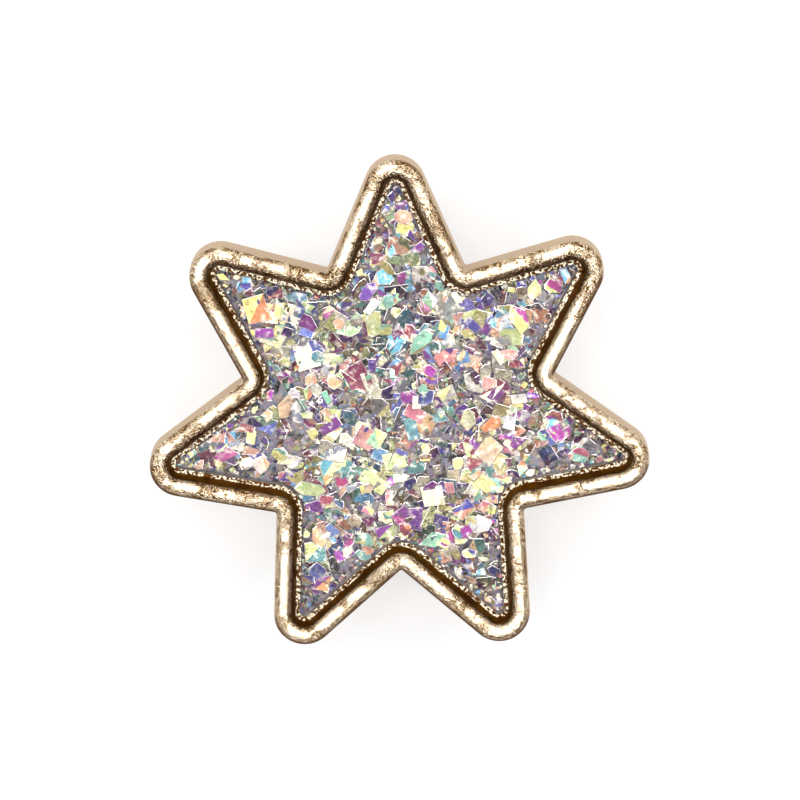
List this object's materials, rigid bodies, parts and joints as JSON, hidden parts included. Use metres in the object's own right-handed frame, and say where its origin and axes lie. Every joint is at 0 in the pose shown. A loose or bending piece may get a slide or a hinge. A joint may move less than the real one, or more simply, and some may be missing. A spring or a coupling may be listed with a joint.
{
  "type": "star lapel pin",
  "caption": "Star-shaped metal lapel pin with a raised bead rim, iridescent glitter resin fill, nail posts and butterfly clutches.",
  "frame": {"origin": "centre of the casting's flat back face, where the star's own axis meets it", "axes": "+Z out of the decorated face, +Y to the top tip, +X to the wearer's view right; the posts point along -Z"},
  "size_m": [0.032, 0.0312, 0.0116],
  "materials": {
    "gold_casting": "pale gold plating, pebbled on the bead and satin on the sides",
    "pearl_base": "grey-lavender pearl coat",
    "clear_resin": "clear glossy resin",
    "iridescent_film": "iridescent film flakes in pastel colours",
    "plated_steel": "pale gold plating, fine draw lines",
    "solder": "dull solder under plating",
    "plated_brass": "bright pale gold plating on stamped sheet",
    "spring_steel": "plain drawn wire"
  },
  "bodies": {
    "star": {"star_casting": "gold_casting", "base_enamel": "pearl_base", "glitter_resin": "clear_resin", "coarse_glitter": "iridescent_film", "fine_glitter": "iridescent_film", "clear_topcoat": "clear_resin", "left_post": "plated_steel", "left_solder_ring": "solder", "right_post": "plated_steel", "right_solder_ring": "solder"},
    "left_clutch": {"left_clutch_base": "plated_brass"},
    "left_clutch_head": {"left_clutch_cover": "plated_brass", "left_clutch_spring": "spring_steel"},
    "left_top_wing": {"left_clutch_top_wing": "plated_brass"},
    "left_bottom_wing": {"left_clutch_bottom_wing": "plated_brass"},
    "right_clutch": {"right_clutch_base": "plated_brass"},
    "right_clutch_head": {"right_clutch_cover": "plated_brass", "right_clutch_spring": "spring_steel"},
    "right_top_wing": {"right_clutch_top_wing": "plated_brass"},
    "right_bottom_wing": {"right_clutch_bottom_wing": "plated_brass"}
  },
  "joints": [
    {"name": "left_clutch_slide", "type": "slide", "parent": "star", "child": "left_clutch", "axis": [0, 0, -1], "range_m": [-0.0031, 0.012]},
    {"name": "left_clutch_turn", "type": "hinge", "parent": "left_clutch", "child": "left_clutch_head", "pos_m": [-0.0056, -0.0019, -0.0033], "axis": [0, 0, -1], "continuous": true},
    {"name": "left_wing_squeeze", "type": "slide", "parent": "left_clutch_head", "child": "left_top_wing", "axis": [0, -1, 0], "range_m": [0, 0.0005], "stiffness_N_per_m": 1000, "springref_m": -0.001, "deforming": ["left_clutch_spring"]},
    {"name": "left_bottom_wing_squeeze", "type": "slide", "parent": "left_clutch_head", "child": "left_bottom_wing", "axis": [0, 1, 0], "range_m": [0, 0.0005]},
    {"name": "right_clutch_slide", "type": "slide", "parent": "star", "child": "right_clutch", "axis": [0, 0, -1], "range_m": [-0.0031, 0.012]},
    {"name": "right_clutch_turn", "type": "hinge", "parent": "right_clutch", "child": "right_clutch_head", "pos_m": [0.0056, -0.0019, -0.0033], "axis": [0, 0, -1], "continuous": true},
    {"name": "right_wing_squeeze", "type": "slide", "parent": "right_clutch_head", "child": "right_top_wing", "axis": [0, -1, 0], "range_m": [0, 0.0005], "stiffness_N_per_m": 1000, "springref_m": -0.001, "deforming": ["right_clutch_spring"]},
    {"name": "right_bottom_wing_squeeze", "type": "slide", "parent": "right_clutch_head", "child": "right_bottom_wing", "axis": [0, 1, 0], "range_m": [0, 0.0005]}
  ],
  "couplings": [
    {"joint": "left_bottom_wing_squeeze", "follows": "left_wing_squeeze", "ratio": 1},
    {"joint": "right_bottom_wing_squeeze", "follows": "right_wing_squeeze", "ratio": 1}
  ]
}
